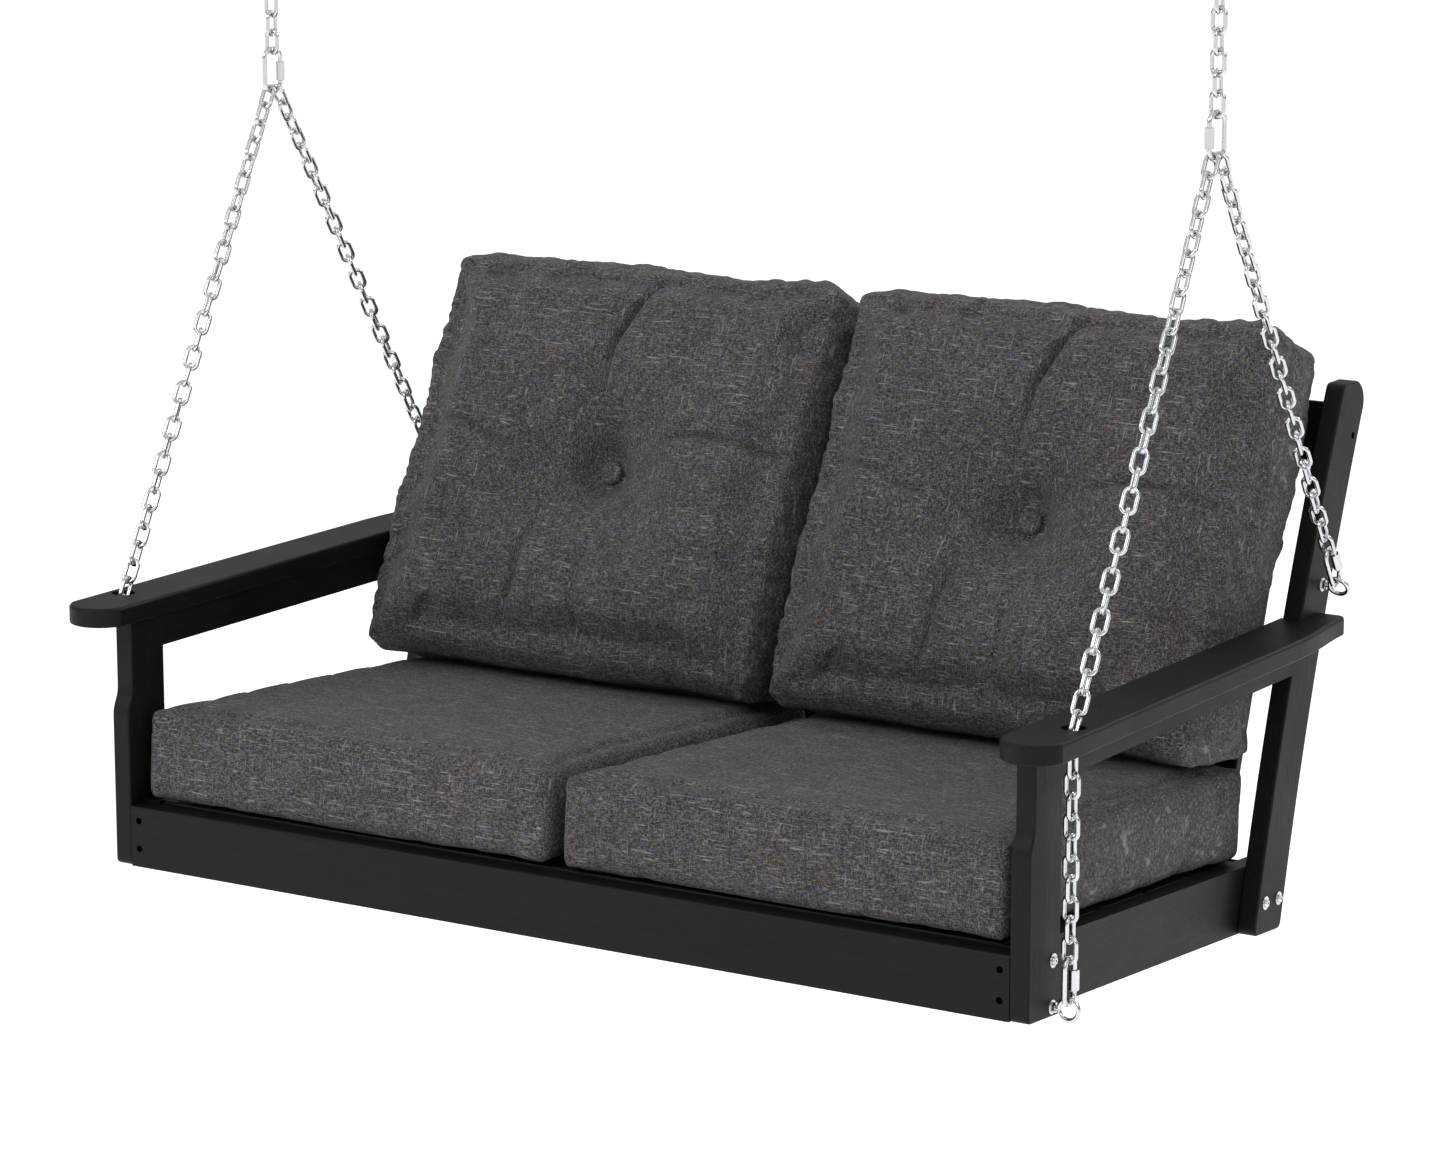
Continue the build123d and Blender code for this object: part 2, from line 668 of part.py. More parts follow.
def back_cushion_outline():
    """Side view of a back cushion: it stands on the seat cushion and leans on the slats."""
    foot_front = (470.0, 181.0)
    foot_back = (648.0, 168.5)
    top_back = (838.0, 644.0)
    top_front = (716.0, 708.0)
    outline = make_face(
        [
            Line(foot_front, foot_back),
            ThreePointArc(foot_back, (735.0, 411.0), top_back),
            ThreePointArc(top_back, (791.0, 692.0), top_front),
            ThreePointArc(top_front, (566.0, 452.0), foot_front),
        ]
    )
    for (y, z), radius in (
        (foot_front, 30.0),
        (foot_back, 22.0),
        (top_back, 30.0),
        (top_front, 30.0),
    ):
        outline = round_corner(outline, y, z, radius)
    return outline


def tuft_place(tuft):
    """Floor of a tuft: its local z points out of the cushion."""
    y, z, tilt = tuft[:3]
    return Pos(CUSHION_MIDDLE, y, z) * Rot(X=tilt)


def tuft_hollow(tuft, inset):
    """The bell-shaped hollow that a tufting button pulls into a cushion."""
    mouth, depth = tuft[3:]
    floor = TUFT_FLOOR + inset
    mouth = mouth + inset
    flank = ThreePointArc(
        (floor, -inset),
        (floor + (mouth - floor) * 0.42, depth * 0.62),
        (mouth, depth),
    )
    rest = Polyline((mouth, depth), (mouth, depth + 60), (0, depth + 60), (0, -inset), (floor, -inset))
    profile = make_face((flank + rest).edges())
    return tuft_place(tuft) * revolve(Plane.XZ * profile, Axis.Z)


def back_cushion_block(inset):
    outline = offset(back_cushion_outline(), amount=-inset) if inset else back_cushion_outline()
    block = board(outline, CUSHION_INNER + inset, CUSHION_OUTER - inset)
    block = fillet(block.faces().filter_by(Axis.X).edges(), 16.0 - inset)
    return block - tuft_hollow(FRONT_TUFT, inset) - tuft_hollow(BACK_TUFT, inset)


def tuft_button(tuft):
    """A covered button standing on the floor of a tuft."""
    disc = Cylinder(BUTTON_RADIUS, BUTTON_THICK)
    disc = fillet(disc.edges().sort_by(Axis.Z)[-1], 4.5)
    disc = fillet(disc.edges().sort_by(Axis.Z)[0], 1.5)
    return tuft_place(tuft) * Pos(0, 0, BUTTON_THICK / 2 + 0.3) * disc


# ---- assembly ----

add_pair("front_leg", front_leg())
add_pair("rear_leg", rear_leg())
add_pair("arm", arm())
add_pair("arm_apron", arm_apron())
add_pair("side_rail", side_rail())
add("front_rail", front_rail())
add("lower_back_rail", back_rail(LEG_INNER - BOARD, LOWER_RAIL_MIDDLE))
add("top_back_rail", back_rail(LEG_INNER, TOP_RAIL_MIDDLE))
for bearer_name, bearer_side in (("left", -1), ("centre", 0), ("right", 1)):
    add(bearer_name + "_seat_bearer", seat_bearer(bearer_side * BEARER_X))
for number, (slat_middle, slat_width) in enumerate(seat_slat_places(), start=1):
    add(f"seat_slat_{number}", seat_slat(slat_middle, slat_width))
for slat_index in range(BACK_SLAT_COUNT):
    add(f"back_slat_{slat_index + 1}", back_slat(slat_index))
add("frame_screws", *frame_screws())
add("slat_screws", *slat_screws())

for side_x in (-1, 1):
    outward = Pos(side_x * LEG_OUTER, 0, 0) * Rot(Z=0 if side_x > 0 else 180)
    for bolt_y, bolt_z in REAR_BOLTS + (FRONT_BOLT,):
        spot = Pos(side_x * LEG_OUTER, bolt_y, bolt_z) * Rot(Z=0 if side_x > 0 else 180)
        add("leg_bolts", spot * leg_bolt())
        add("bolt_washers", spot * washer())
    for eye_y, eye_z, eye_inside, eye_lean in (
        (EYE_FRONT_Y, EYE_FRONT_Z, LEG_INNER - BOARD, 0.0),
        (EYE_REAR_Y, EYE_REAR_Z, LEG_INNER, REAR_LEAN),
    ):
        eye = Pos(0, eye_y, eye_z) * eye_bolt(eye_inside, eye_lean)
        add("eye_bolts", eye if side_x > 0 else mirror(eye, about=Plane.YZ))
        outer = Pos(side_x * LEG_OUTER, eye_y, eye_z) * Rot(Z=0 if side_x > 0 else 180)
        inner = Pos(side_x * eye_inside, eye_y, eye_z) * Rot(Z=180 if side_x > 0 else 0)
        for seat_face in (outer, inner):
            add("bolt_washers", seat_face * washer())
            add("eye_bolt_nuts", seat_face * Pos(WASHER_THICK + 0.02, 0, 0) * nut())

for side_name, side_x in (("right", 1), ("left", -1)):
    shift = Pos(0, 0, 0) if side_x > 0 else Pos(-2 * CHAIN_X, 0, 0)
    add(side_name + "_front_chain", *[shift * one for one in front_chain()])
    add(side_name + "_rear_chain", *[shift * one for one in rear_chain()])
    add(side_name + "_upper_chain", *[shift * one for one in upper_chain()])
    add(side_name + "_ceiling_hook", shift * ceiling_hook())
    add(side_name + "_upper_quick_link", upper_quick_place(side_x) * quick_link())
    add(side_name + "_upper_sleeve", upper_quick_place(side_x) * sleeve())
    front_place = shift * place_on_lean(EYE_FRONT_Y, EYE_FRONT_Z, 0.0, QUICK_MIDDLE)
    rear_place = shift * place_on_lean(EYE_REAR_Y, EYE_REAR_Z, REAR_LEAN, QUICK_MIDDLE)
    add("front_quick_links", front_place * quick_link())
    add("rear_quick_links", rear_place * quick_link())
    add(side_name + "_front_sleeve", front_place * sleeve())
    add(side_name + "_rear_sleeve", rear_place * sleeve())

seat_cover = seat_cushion_block(0.0) - seat_cushion_block(COVER_THICK)
add_pair("seat_cushion_cover", seat_cover)
add_pair("seat_cushion_foam", seat_cushion_block(COVER_THICK + CORE_GAP))
back_cover = back_cushion_block(0.0) - back_cushion_block(COVER_THICK)
add_pair("back_cushion_cover", back_cover)
for one_tuft in (FRONT_TUFT, BACK_TUFT):
    button = tuft_button(one_tuft)
    add("tufting_buttons", button, mirror(button, about=Plane.YZ))

# ---- origin under the middle of the box, at its lowest point ----

boxes = [solid.bounding_box() for group in pieces.values() for solid in group]
low_y = min(box.min.Y for box in boxes)
high_y = max(box.max.Y for box in boxes)
reach_x = max(box.max.X for box in boxes)
origin_y = (low_y + high_y) / 2
origin_z = min(box.min.Z for box in boxes)
top_z = max(box.max.Z for box in boxes)
print(f"origin at y {origin_y:.4f}, z {origin_z:.4f}")
print(f"size {2 * reach_x:.2f} x {high_y - low_y:.2f} x {top_z - origin_z:.2f}")
print(f"rear lean {REAR_LEAN:.4f}, hook bar z {HOOK_BAR:.4f}")

os.makedirs("parts", exist_ok=True)
for node, group in pieces.items():
    moved = [Pos(0, -origin_y, -origin_z) * solid.solid() for solid in group]
    export_step(moved[0] if len(moved) == 1 else Compound(moved), f"parts/{node}.step")
print(len(pieces), "nodes")
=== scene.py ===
"""Looks for the porch swing seat: materials, stuffed cushions, studio and camera."""

import json
import math

import bmesh
import bpy
import numpy as np
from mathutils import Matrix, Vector, noise


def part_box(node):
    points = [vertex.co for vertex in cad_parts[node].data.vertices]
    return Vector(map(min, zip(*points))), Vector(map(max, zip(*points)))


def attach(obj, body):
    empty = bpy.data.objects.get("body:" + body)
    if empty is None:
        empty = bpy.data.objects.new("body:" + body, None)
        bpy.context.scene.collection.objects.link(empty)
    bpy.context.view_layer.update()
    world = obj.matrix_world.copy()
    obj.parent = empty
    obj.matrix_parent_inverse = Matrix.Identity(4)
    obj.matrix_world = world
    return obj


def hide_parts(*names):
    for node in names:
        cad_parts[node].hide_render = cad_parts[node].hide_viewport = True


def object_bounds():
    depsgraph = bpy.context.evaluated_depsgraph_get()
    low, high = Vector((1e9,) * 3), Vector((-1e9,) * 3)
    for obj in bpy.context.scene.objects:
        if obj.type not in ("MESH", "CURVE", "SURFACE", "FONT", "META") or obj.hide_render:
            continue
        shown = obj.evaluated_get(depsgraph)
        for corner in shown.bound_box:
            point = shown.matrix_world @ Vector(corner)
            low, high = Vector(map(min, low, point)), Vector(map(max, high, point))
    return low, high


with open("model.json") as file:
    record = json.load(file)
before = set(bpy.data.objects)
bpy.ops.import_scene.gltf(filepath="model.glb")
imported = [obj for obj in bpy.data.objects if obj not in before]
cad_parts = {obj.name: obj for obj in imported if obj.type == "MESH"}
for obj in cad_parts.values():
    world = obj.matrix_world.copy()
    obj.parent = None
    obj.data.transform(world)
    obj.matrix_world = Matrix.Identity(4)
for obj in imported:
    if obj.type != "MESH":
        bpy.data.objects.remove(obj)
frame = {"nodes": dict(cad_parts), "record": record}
CAD_BOX = [list(corner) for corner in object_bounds()]
NODES = frame["nodes"]

# ---- sizes taken from the CAD, in metres ----
SEAT_TILT = math.radians(4.0)
RAKE = math.radians(18.4)
CUSHION_X0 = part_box("right_back_cushion_cover")[0].x
CUSHION_X1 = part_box("right_back_cushion_cover")[1].x
CUSHION_MID = (CUSHION_X0 + CUSHION_X1) / 2
# The lower front edge of the front rail, where the side view is measured from
FRONT_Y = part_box("front_rail")[0].y
FRONT_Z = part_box("front_rail")[0].z


def at(y, z):
    """A point of the side view, in millimetres from the lower front edge of the front rail."""
    return FRONT_Y + y / 1000, FRONT_Z + z / 1000


# ---- small mesh helpers ----


def new_object(name, mesh):
    obj = bpy.data.objects.new(name, mesh)
    bpy.context.scene.collection.objects.link(obj)
    return obj


def prism(name, outline, x0, x1):
    """A solid whose outline is given in y and z, between two x positions."""
    bm = bmesh.new()
    ring0 = [bm.verts.new((x0, y, z)) for y, z in outline]
    ring1 = [bm.verts.new((x1, y, z)) for y, z in outline]
    bm.faces.new(ring0)
    bm.faces.new(ring1[::-1])
    count = len(outline)
    for i in range(count):
        j = (i + 1) % count
        bm.faces.new((ring0[i], ring1[i], ring1[j], ring0[j]))
    bmesh.ops.recalc_face_normals(bm, faces=bm.faces)
    mesh = bpy.data.meshes.new(name)
    bm.to_mesh(mesh)
    bm.free()
    return new_object(name, mesh)


def apply_modifier(obj, modifier):
    bpy.context.view_layer.objects.active = obj
    with bpy.context.temp_override(object=obj, active_object=obj, selected_objects=[obj]):
        bpy.ops.object.modifier_apply(modifier=modifier.name)


def coords(obj):
    co = np.empty(len(obj.data.vertices) * 3)
    obj.data.vertices.foreach_get("co", co)
    return co.reshape(-1, 3)


def set_coords(obj, co):
    obj.data.vertices.foreach_set("co", co.ravel())
    obj.data.update()


def remesh(obj, voxel):
    modifier = obj.modifiers.new("Remesh", "REMESH")
    modifier.mode = "VOXEL"
    modifier.voxel_size = voxel
    apply_modifier(obj, modifier)


def stuff(obj, cap):
    """Blow the closed shape up like a stuffed cover, then let no point travel further than cap.

    The cloth also draws its edges in, of which the firm filling lets only a part happen.
    """
    remesh(obj, VOXEL)
    before = coords(obj)
    outward = normals(obj)
    modifier = obj.modifiers.new("Cloth", "CLOTH")
    cloth = modifier.settings
    cloth.quality = 4
    cloth.mass = 0.25
    cloth.tension_stiffness = 12
    cloth.compression_stiffness = 12
    cloth.shear_stiffness = 6
    cloth.bending_stiffness = 0.4
    cloth.use_pressure = True
    cloth.uniform_pressure_force = PRESSURE
    cloth.effector_weights.gravity = 0
    modifier.collision_settings.use_collision = False
    scene = bpy.context.scene
    modifier.point_cache.frame_start = 1
    modifier.point_cache.frame_end = CLOTH_FRAMES
    for number in range(1, CLOTH_FRAMES + 1):
        scene.frame_set(number)
    apply_modifier(obj, modifier)
    scene.frame_set(1)
    moved = coords(obj) - before
    inward = np.minimum(np.einsum("ij,ij->i", moved, outward), 0)
    moved -= outward * (inward * (1 - DRAW_IN))[:, None]
    length = np.linalg.norm(moved, axis=1)
    scale = np.minimum(1.0, cap / np.maximum(length, 1e-9))
    set_coords(obj, before + moved * scale[:, None])


def subdivide(obj):
    modifier = obj.modifiers.new("Subdivision", "SUBSURF")
    modifier.levels = 1
    modifier.render_levels = 1
    apply_modifier(obj, modifier)


def swell(obj, cap):
    stuff(obj, cap)
    subdivide(obj)


def bumps(co, size, seed):
    """Smooth noise, one value for each point."""
    shift = Vector((seed * 7.3, seed * 3.1, seed * 5.7))
    return np.array([noise.noise(Vector(p) / size + shift) for p in co])


def normals(obj):
    out = np.empty(len(obj.data.vertices) * 3)
    obj.data.vertices.foreach_get("normal", out)
    return out.reshape(-1, 3)


def smoothstep(low, high, value):
    t = np.clip((value - low) / (high - low), 0, 1)
    return t * t * (3 - 2 * t)


# ---- cushions ----

VOXEL = 0.0065
PRESSURE = 4.0
CLOTH_FRAMES = 20
DRAW_IN = 0.3  # share of the cloth's inward pull that is kept
SEAT_UP = np.array([0.0, math.sin(SEAT_TILT), math.cos(SEAT_TILT)])
SEAT_ALONG = np.array([0.0, math.cos(SEAT_TILT), -math.sin(SEAT_TILT)])
BACK_OUT = np.array([0.0, -math.cos(RAKE), math.sin(RAKE)])  # from the slats towards a sitter
SEAT_TOP = 0.0843  # top of the seat slats, square to the seat
SEAT_THICK = 0.1238
SEAT_FRONT = -0.002
SEAT_BACK = 0.632
ORIGIN = np.array([0.0, FRONT_Y, FRONT_Z])
HALF_WIDTH = (CUSHION_X1 - CUSHION_X0) / 2
CORNER = 0.055  # radius of the corners of a back cushion
TOP_REACH = 0.285  # from the button to the top edge of its cushion
BOTTOM_REACH = 0.290
BUTTON = np.array([CUSHION_MID, *at(635.0, 439.0)])
BUTTON_FLAT = 0.0185  # radius of the flat that the button sits on
FACE_LEAN = math.radians(66.3)  # slope of the cushion's face at the button
FACE_OUT = np.array([0.0, -math.sin(FACE_LEAN), math.cos(FACE_LEAN)])
FACE_UP = np.array([0.0, math.cos(FACE_LEAN), math.sin(FACE_LEAN)])
SLAT_LINE_Y = 635.0  # middle of the back slats, level with the lower edge of the front rail
HALF_SLAT = 0.0084  # half a slat's thickness and a small gap
SLAT_FACE = np.array([0.0, *at(SLAT_LINE_Y, 0.0)]) + BACK_OUT * HALF_SLAT


def clamp_plane(co, point, outward, limit=0.0, soft=0.004):
    """Push points back so that none passes a plane; they flatten against it."""
    depth = (co - point) @ outward - limit
    over = np.maximum(depth + soft, 0)
    eased = np.where(over > 0, soft * (1 - np.exp(-over / soft)), 0)
    shift = np.where(depth > -soft, (-soft + eased) - depth, 0)
    return co + np.outer(shift, outward)


def seat_cushion():
    """The right-hand seat cushion: a firm box with softly crowned faces."""
    inset = 0.007
    rows = []
    for along, up in (
        (SEAT_FRONT + inset, SEAT_TOP + inset),
        (SEAT_BACK - inset, SEAT_TOP + inset),
        (SEAT_BACK - inset, SEAT_TOP + SEAT_THICK - inset),
        (SEAT_FRONT + inset, SEAT_TOP + SEAT_THICK - inset),
    ):
        point = ORIGIN + SEAT_ALONG * along + SEAT_UP * up
        rows.append((point[1], point[2]))
    obj = prism("right_seat_cushion", rows, CUSHION_X0 + inset, CUSHION_X1 - inset)
    swell(obj, 0.022)
    co = coords(obj)
    ripple = bumps(co, 0.14, 1.0) * 0.0022 + bumps(co, 0.045, 2.0) * 0.0007
    co = co + normals(obj) * ripple[:, None]
    co = clamp_plane(co, ORIGIN + SEAT_UP * SEAT_TOP, -SEAT_UP)
    co = clamp_plane(co, ORIGIN + SEAT_UP * (SEAT_TOP + SEAT_THICK), SEAT_UP, limit=0.004, soft=0.010)
    co = clamp_plane(co, ORIGIN + SEAT_ALONG * SEAT_FRONT, -SEAT_ALONG, limit=0.004, soft=0.006)
    co = clamp_plane(co, ORIGIN + SEAT_ALONG * SEAT_BACK, SEAT_ALONG, limit=0.002, soft=0.006)
    co = clamp_sides(co)
    set_coords(obj, co)
    return obj


def clamp_sides(co):
    """Keep a right-hand cushion between the middle of the seat and the arm."""
    inner = np.array([CUSHION_X0 - 0.0015, 0, 0])
    outer = np.array([CUSHION_X1, 0, 0])
    co = clamp_plane(co, inner, np.array([-1.0, 0, 0]), soft=0.006)
    return clamp_plane(co, outer, np.array([1.0, 0, 0]), soft=0.006)


# Creases on the face of a back cushion: across and up from the button, in metres, then depth and width
CREASES = (
    (((-0.012, 0.095), (-0.008, 0.165), (0.020, 0.232), (0.036, 0.262)), 0.016, 0.0085),
    (((-0.262, 0.040), (-0.200, 0.034), (-0.150, 0.012), (-0.118, 0.012)), 0.010, 0.0080),
    (((0.100, 0.040), (0.160, 0.052), (0.225, 0.046), (0.292, 0.034)), 0.010, 0.0080),
    (((-0.062, -0.070), (-0.074, -0.130), (-0.072, -0.185), (-0.084, -0.222)), 0.010, 0.0080),
    (((0.030, -0.080), (0.022, -0.130), (0.028, -0.190), (0.040, -0.230)), 0.007, 0.0110),
    (((0.020, -0.205), (0.052, -0.235), (0.070, -0.262)), 0.006, 0.0080),
)


def crease_depth(across, upward, points, depth, width):
    """How far one crease sinks each point of the face. It fades out at both ends."""
    best = np.full(len(across), 1e9)
    fade = np.zeros(len(across))
    spans = len(points) - 1
    for i in range(spans):
        (x0, z0), (x1, z1) = points[i], points[i + 1]
        dx, dz = x1 - x0, z1 - z0
        t = np.clip(((across - x0) * dx + (upward - z0) * dz) / (dx * dx + dz * dz), 0, 1)
        away = np.hypot(across - x0 - t * dx, upward - z0 - t * dz)
        place = (i + t) / spans
        nearer = away < best
        best = np.where(nearer, away, best)
        fade = np.where(nearer, np.sin(np.pi * np.clip(place, 0.04, 0.96)) ** 0.6, fade)
    sharp = np.exp(-((best / (0.55 * width)) ** 2)) * 0.8 + np.exp(-best / (2.4 * width)) * 0.5
    return depth * fade * sharp


def back_cushion():
    """The right-hand back cushion: a pillow pulled in at its button, creased and gathered."""
    inset = 0.009
    outline = [
        at(496, 186),
        at(560, 179),
        at(646, 172),
        at(664, 240),
        at(702, 318),
        at(744, 400),
        at(776, 480),
        at(802, 560),
        at(828, 645),
        at(818, 682),
        at(776, 702),
        at(722, 704),
        at(694, 655),
        at(640, 570),
        at(594, 480),
        at(545, 385),
        at(506, 290),
        at(478, 212),
    ]
    obj = prism("right_back_cushion", outline, CUSHION_X0 + inset, CUSHION_X1 - inset)
    swell(obj, 0.026)
    co = coords(obj)
    nrm = normals(obj)
    rel = co - BUTTON
    across = rel[:, 0]
    upward = rel @ FACE_UP
    height = rel @ FACE_OUT
    front = smoothstep(-0.01, 0.05, height)
    radius = np.hypot(across, upward)
    # the pull of the button: a steep part close to it and a wide, soft one
    away = np.maximum(radius - BUTTON_FLAT, 0)
    pull = 0.34 * np.exp(-((away / 0.022) ** 2)) + 0.66 * np.exp(-((away / 0.095) ** 2))
    sink = np.maximum(height + 0.0015, 0) * pull * front
    for points, depth, width in CREASES:
        sink = sink + crease_depth(across, upward, points, depth, width) * front
    co = co - np.outer(sink, FACE_OUT)
    # round the four corners of the cover
    for reach, sign in ((TOP_REACH, 1), (BOTTOM_REACH, -1)):
        past_side = np.maximum(np.abs(across) - (HALF_WIDTH - CORNER), 0)
        past_end = np.maximum(sign * upward - (reach - CORNER), 0)
        in_corner = (past_side > 0) * (past_end > 0)
        over = np.maximum(np.hypot(past_side, past_end) - CORNER, 0) * in_corner
        turn = np.arctan2(past_end, past_side)
        co[:, 0] -= np.sign(across) * np.cos(turn) * over
        co -= np.outer(np.sin(turn) * over * sign, FACE_UP)
    # gathers along the seams at the sides and top, and a slow unevenness of the filling
    side = smoothstep(0.235, 0.305, np.abs(across))
    top = smoothstep(0.19, 0.27, upward)
    edge = np.maximum(side, top)
    ripple = bumps(co, 0.022, 3.0) * 0.0042 * edge
    ripple = ripple + bumps(co, 0.012, 9.0) * 0.0014 * edge
    ripple = ripple + bumps(co, 0.16, 4.0) * 0.0060 + bumps(co, 0.055, 5.0) * 0.0018
    ripple = ripple * (1 - front * (1 - smoothstep(0.022, 0.085, radius)))
    co = co + nrm * ripple[:, None]
    # it rests on the slats and on the seat cushion, and fits between the arms
    co = clamp_plane(co, SLAT_FACE, -BACK_OUT, limit=-0.0005)
    rest = ORIGIN + SEAT_UP * (SEAT_TOP + SEAT_THICK + 0.0045)
    co = clamp_plane(co, rest, -SEAT_UP)
    co = clamp_sides(co)
    set_coords(obj, co)
    return obj


def left_copy(obj, name, seed):
    """The same cushion moved across to the left. A back cushion's front is also uneven in its own way."""
    other = obj.copy()
    other.data = obj.data.copy()
    other.name = name
    other.data.name = name
    bpy.context.scene.collection.objects.link(other)
    co = coords(other)
    if "back" in name:
        inside = smoothstep(0, 0.03, co[:, 0] - CUSHION_X0) * smoothstep(0, 0.03, CUSHION_X1 - co[:, 0])
        lift = bumps(co, 0.11, seed) * 0.0025 * inside
        forward = smoothstep(-0.09, 0.0, (co - SLAT_FACE) @ BACK_OUT - 0.09)
        co = co + np.outer(lift * forward, BACK_OUT)
    co[:, 0] -= CUSHION_X0 + CUSHION_X1
    set_coords(other, co)
    return other


# ---- materials ----


def node_material(name):
    material = bpy.data.materials.new(name)
    material.use_nodes = True
    tree = material.node_tree
    shader = tree.nodes["Principled BSDF"]
    place = tree.nodes.new("ShaderNodeTexCoord")
    return material, tree, shader, place.outputs["Object"]


def stretched(tree, source, scale):
    mapping = tree.nodes.new("ShaderNodeMapping")
    mapping.inputs["Scale"].default_value = scale
    tree.links.new(source, mapping.inputs["Vector"])
    return mapping.outputs["Vector"]


def noise_node(tree, vector, scale, detail=3.0, roughness=0.55):
    node = tree.nodes.new("ShaderNodeTexNoise")
    node.inputs["Scale"].default_value = scale
    node.inputs["Detail"].default_value = detail
    node.inputs["Roughness"].default_value = roughness
    tree.links.new(vector, node.inputs["Vector"])
    return node.outputs["Fac"]


def ramp(tree, source, stops):
    node = tree.nodes.new("ShaderNodeValToRGB")
    elements = node.color_ramp.elements
    while len(elements) < len(stops):
        elements.new(0.5)
    for element, (position, colour) in zip(elements, stops):
        element.position = position
        element.color = (*colour, 1.0)
    tree.links.new(source, node.inputs["Fac"])
    return node.outputs["Color"]


def grey(value):
    return (value, value, value)


def mix(tree, factor, first, second, kind="MIX"):
    node = tree.nodes.new("ShaderNodeMix")
    node.data_type = "RGBA"
    node.blend_type = kind
    for name, value in (("Factor", factor), ("A", first), ("B", second)):
        socket = [s for s in node.inputs if s.name == name and s.enabled][0]
        if isinstance(value, (int, float)):
            socket.default_value = value
        elif isinstance(value, tuple):
            socket.default_value = (*value, 1.0)
        else:
            tree.links.new(value, socket)
    return [s for s in node.outputs if s.enabled][0]


def maths(tree, kind, first, second):
    node = tree.nodes.new("ShaderNodeMath")
    node.operation = kind
    for socket, value in zip(node.inputs, (first, second)):
        if isinstance(value, (int, float)):
            socket.default_value = value
        else:
            tree.links.new(value, socket)
    return node.outputs[0]


def bump(tree, shader, height, distance, strength):
    node = tree.nodes.new("ShaderNodeBump")
    node.inputs["Distance"].default_value = distance
    node.inputs["Strength"].default_value = strength
    tree.links.new(height, node.inputs["Height"])
    tree.links.new(node.outputs["Normal"], shader.inputs["Normal"])


def woven_cloth():
    """Dark heather cloth: threads both ways, with brown, blue and pale flecks."""
    material, tree, shader, place = node_material("woven_cloth")
    across = noise_node(tree, stretched(tree, place, (190, 800, 800)), 1.0, 2.0)
    down = noise_node(tree, stretched(tree, place, (800, 210, 210)), 1.0, 2.0)
    slub = noise_node(tree, stretched(tree, place, (34, 430, 430)), 1.0, 3.0)
    slub_down = noise_node(tree, stretched(tree, place, (430, 38, 38)), 1.0, 3.0)
    tint = noise_node(tree, stretched(tree, place, (330, 380, 380)), 1.0, 1.0)
    cloud = noise_node(tree, place, 22.0, 3.0)
    body = ramp(
        tree,
        across,
        [(0.36, (0.006, 0.0056, 0.0056)), (0.50, (0.044, 0.0405, 0.0402)), (0.64, (0.190, 0.178, 0.177))],
    )
    other = ramp(
        tree,
        down,
        [(0.36, (0.006, 0.0056, 0.0056)), (0.52, (0.040, 0.0370, 0.0368)), (0.66, (0.175, 0.164, 0.163))],
    )
    colour = mix(tree, 0.5, body, other)
    hue = ramp(
        tree,
        tint,
        [
            (0.36, (0.66, 0.84, 1.32)),
            (0.46, (1.0, 1.0, 1.0)),
            (0.56, (1.0, 0.98, 0.97)),
            (0.66, (1.42, 1.02, 0.76)),
        ],
    )
    colour = mix(tree, 1.0, colour, hue, "MULTIPLY")
    fleck = ramp(tree, slub, [(0.60, grey(0)), (0.70, grey(0.85))])
    colour = mix(tree, fleck, colour, (0.24, 0.23, 0.235))
    pale = ramp(tree, slub_down, [(0.62, grey(0)), (0.72, grey(0.75))])
    colour = mix(tree, pale, colour, (0.22, 0.21, 0.22))
    shade = ramp(tree, cloud, [(0.3, grey(0.84)), (0.7, grey(1.12))])
    colour = mix(tree, 1.0, colour, shade, "MULTIPLY")
    tree.links.new(colour, shader.inputs["Base Color"])
    rough = ramp(tree, across, [(0.3, grey(0.82)), (0.7, grey(0.96))])
    tree.links.new(rough, shader.inputs["Roughness"])
    shader.inputs["Sheen Weight"].default_value = 0.05
    shader.inputs["Sheen Roughness"].default_value = 0.6
    shader.inputs["Specular IOR Level"].default_value = 0.25
    threads = maths(tree, "ADD", across, down)
    height = maths(tree, "ADD", threads, maths(tree, "MULTIPLY", slub, 0.6))
    bump(tree, shader, height, 0.0007, 0.8)
    return material


def moulded_board(name, stretch):
    """Black plastic lumber: a fine grain drawn out along the board, and slight wear of the gloss."""
    material, tree, shader, place = node_material(name)
    grain = noise_node(tree, stretched(tree, place, stretch), 1.0, 4.0, 0.6)
    pebble = noise_node(tree, place, 620.0, 2.0)
    cloud = noise_node(tree, place, 9.0, 3.0)
    colour = ramp(
        tree,
        grain,
        [
            (0.25, (0.0034, 0.0035, 0.0032)),
            (0.55, (0.0056, 0.0058, 0.0053)),
            (0.80, (0.0100, 0.0103, 0.0094)),
        ],
    )
    shade = ramp(tree, cloud, [(0.3, grey(0.86)), (0.7, grey(1.16))])
    tree.links.new(mix(tree, 1.0, colour, shade, "MULTIPLY"), shader.inputs["Base Color"])
    wear = maths(tree, "ADD", maths(tree, "MULTIPLY", grain, 0.5), maths(tree, "MULTIPLY", cloud, 0.5))
    rough = ramp(tree, wear, [(0.3, grey(0.40)), (0.7, grey(0.56))])
    tree.links.new(rough, shader.inputs["Roughness"])
    shader.inputs["Specular IOR Level"].default_value = 0.16
    height = maths(tree, "ADD", grain, maths(tree, "MULTIPLY", pebble, 0.8))
    bump(tree, shader, height, 0.00045, 0.7)
    return material


